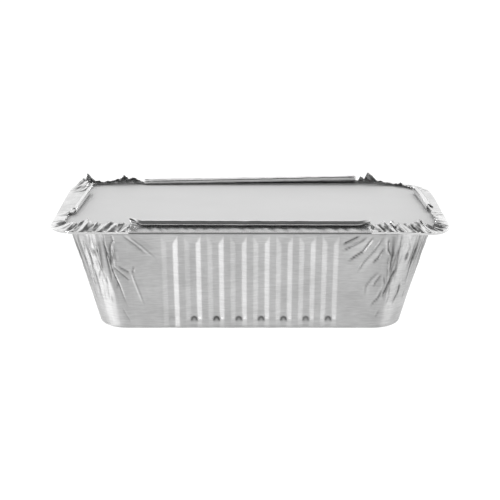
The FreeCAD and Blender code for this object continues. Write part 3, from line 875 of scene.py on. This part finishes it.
card_mesh = bmesh.new()
bmesh.ops.create_grid(card_mesh, x_segments=1, y_segments=1, size=0.5)
for vert in card_mesh.verts:
    vert.co.x *= CARD[0] * MM
    vert.co.y *= CARD[1] * MM
bmesh.ops.bevel(card_mesh, geom=card_mesh.verts[:], offset=CARD_CORNER * MM, offset_type="OFFSET",
                affect="VERTICES", segments=12, profile=0.5, material=-1)
for normal, length in ((Vector((1, 0, 0)), CARD[0]), (Vector((0, 1, 0)), CARD[1])):
    cut = -length / 2 + CARD_CUTS
    while cut < length / 2 - 1:
        bmesh.ops.bisect_plane(card_mesh, geom=card_mesh.verts[:] + card_mesh.edges[:] + card_mesh.faces[:],
                               plane_co=normal * cut * MM, plane_no=normal)
        cut += CARD_CUTS
top = bmesh.ops.extrude_face_region(card_mesh, geom=card_mesh.faces[:])
for item in top["geom"]:
    if isinstance(item, bmesh.types.BMVert):
        item.co.z = CARD_GAUGE * MM
for vert in card_mesh.verts:
    x, y = vert.co.x / MM, vert.co.y / MM
    free = smooth(min(CARD_FREE[0] - abs(x), CARD_FREE[1] - abs(y)), 0, 20)
    uneven = CARD_UNEVEN * (1 + noise.noise(Vector((x * 0.03, y * 0.03, 0.0)))) * free
    vert.co.z += (CARD_UNDERSIDE - sag_at(x, y) + uneven) * MM
bmesh.ops.recalc_face_normals(card_mesh, faces=card_mesh.faces)
for face in card_mesh.faces:
    face.smooth = True
card_data = bpy.data.meshes.new("card_lid_blank")
card_mesh.to_mesh(card_data)
card_mesh.free()
card_data.set_sharp_from_angle(angle=math.radians(40))
card = bpy.data.objects.new("card_lid_blank", card_data)
bpy.context.scene.collection.objects.link(card)

board, shader, add, links = new_material("coated_card")
place = add("ShaderNodeTexCoord").outputs["Object"]
mottle = add("ShaderNodeTexNoise", {"Vector": place, "Scale": 45.0, "Detail": 4.0}).outputs["Fac"]
fibres = add("ShaderNodeTexNoise", {"Vector": place, "Scale": 2200.0, "Detail": 2.0}).outputs["Fac"]
tone = ranged(add, mottle, 0.3, 0.7, 0.66, 0.68)
tint = add("ShaderNodeCombineColor", {"Red": tone, "Green": tone, "Blue": tone})
links.new(tint.outputs["Color"], shader.inputs["Base Color"])
shader.inputs["Roughness"].default_value = 0.62
grain = add("ShaderNodeBump", {"Height": fibres, "Strength": 0.25, "Distance": 0.00005})
links.new(grain.outputs["Normal"], shader.inputs["Normal"])
card_data.materials.append(board)

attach(card, "root")
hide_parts("card_lid")

# The studio: a plain white table under the tray, a white backdrop behind it and a darker room behind the
# camera.

table_mesh = bmesh.new()
bmesh.ops.create_grid(table_mesh, x_segments=1, y_segments=1, size=6.0)
table_data = bpy.data.meshes.new("table_top")
table_mesh.to_mesh(table_data)
table_mesh.free()
table = bpy.data.objects.new("table_top", table_data)
bpy.context.scene.collection.objects.link(table)
white, shader = new_material("white_table")[:2]
shader.inputs["Base Color"].default_value = (0.12, 0.12, 0.12, 1.0)
shader.inputs["Emission Color"].default_value = (1.0, 1.0, 1.0, 1.0)
shader.inputs["Emission Strength"].default_value = 1.0
shader.inputs["Roughness"].default_value = 0.9
shader.inputs["Specular IOR Level"].default_value = 0.0
table_data.materials.append(white)

world = bpy.data.worlds.new("studio")
bpy.context.scene.world = world
world.use_nodes = True
add = node_adder(world.node_tree)
way = add("ShaderNodeSeparateXYZ", {0: add("ShaderNodeTexCoord").outputs["Generated"]}).outputs


def eased(source, low, high, start, end):
    """A value of the room that goes from start to end with an eased step."""
    return ranged(add, source, low, high, start, end, interpolation_type="SMOOTHSTEP")


def joined(operation, first, second=0.0):
    """A value of the room worked out from one or two others."""
    return add("ShaderNodeMath", {0: first, 1: second}, operation=operation).outputs[0]


ROOM = 0.13  # the brightness of the room, where neither the backdrop nor a low side wall shows
backdrop = joined("MULTIPLY", eased(way["Y"], 0.0, 0.55, 0.0, 1.0), eased(way["Z"], 0.65, 1.35, 1.0, 0.0))
aside = joined("ABSOLUTE", way["X"])
low_sides = joined("MULTIPLY", eased(aside, 0.3, 0.75, 0.0, 0.75), eased(way["Z"], 0.3, 0.8, 1.0, 0.0))
glow = joined("ADD", joined("MAXIMUM", backdrop, low_sides), ROOM)
sky = world.node_tree.nodes["Background"]
world.node_tree.links.new(glow, sky.inputs["Strength"])
sky.inputs["Color"].default_value = (1.0, 1.0, 1.0, 1.0)


def soft_light(name, place, target, size, power, glossy=True):
    """A soft light of that width and height that faces a point."""
    data = bpy.data.lights.new(name, "AREA")
    data.shape = "RECTANGLE"
    data.size, data.size_y = size
    data.energy = power
    light = bpy.data.objects.new(name, data)
    light.location = place
    light.rotation_euler = (Vector(target) - Vector(place)).to_track_quat("-Z", "Y").to_euler()
    light.visible_glossy = glossy
    bpy.context.scene.collection.objects.link(light)


soft_light("overhead", (0.0, 0.0, 1.6), (0.0, 0.0, 0.0), (2.4, 2.4), 18.3, glossy=False)
for name, x, y, power in (("left", -1.8, -1.5, 23.0), ("right", 1.8, -1.5, 10.0),
                          ("back_left", -1.8, 1.5, 16.0), ("back_right", 1.8, 1.5, 16.0)):
    soft_light(name, (x, y, 0.16), (0.0, 0.0, 0.03), (1.2, 0.24), power)

# The camera stands in front of the tray's middle, about 24 cm up, and looks down at it.

camera_data = bpy.data.cameras.new("camera")
camera_data.lens = 95.3
camera_data.sensor_width = 36.0
camera_data.clip_start = 0.01
camera_data.clip_end = 50.0
camera = bpy.data.objects.new("camera", camera_data)
camera.location = (0.0, -0.7096, 0.2399)
camera.rotation_euler = (Vector((0.0, 0.0, 0.0341)) - camera.location).to_track_quat("-Z", "Y").to_euler()
bpy.context.scene.collection.objects.link(camera)
bpy.context.scene.camera = camera
bpy.context.scene.view_settings.view_transform = "Standard"
bpy.context.scene.view_settings.look = "None"
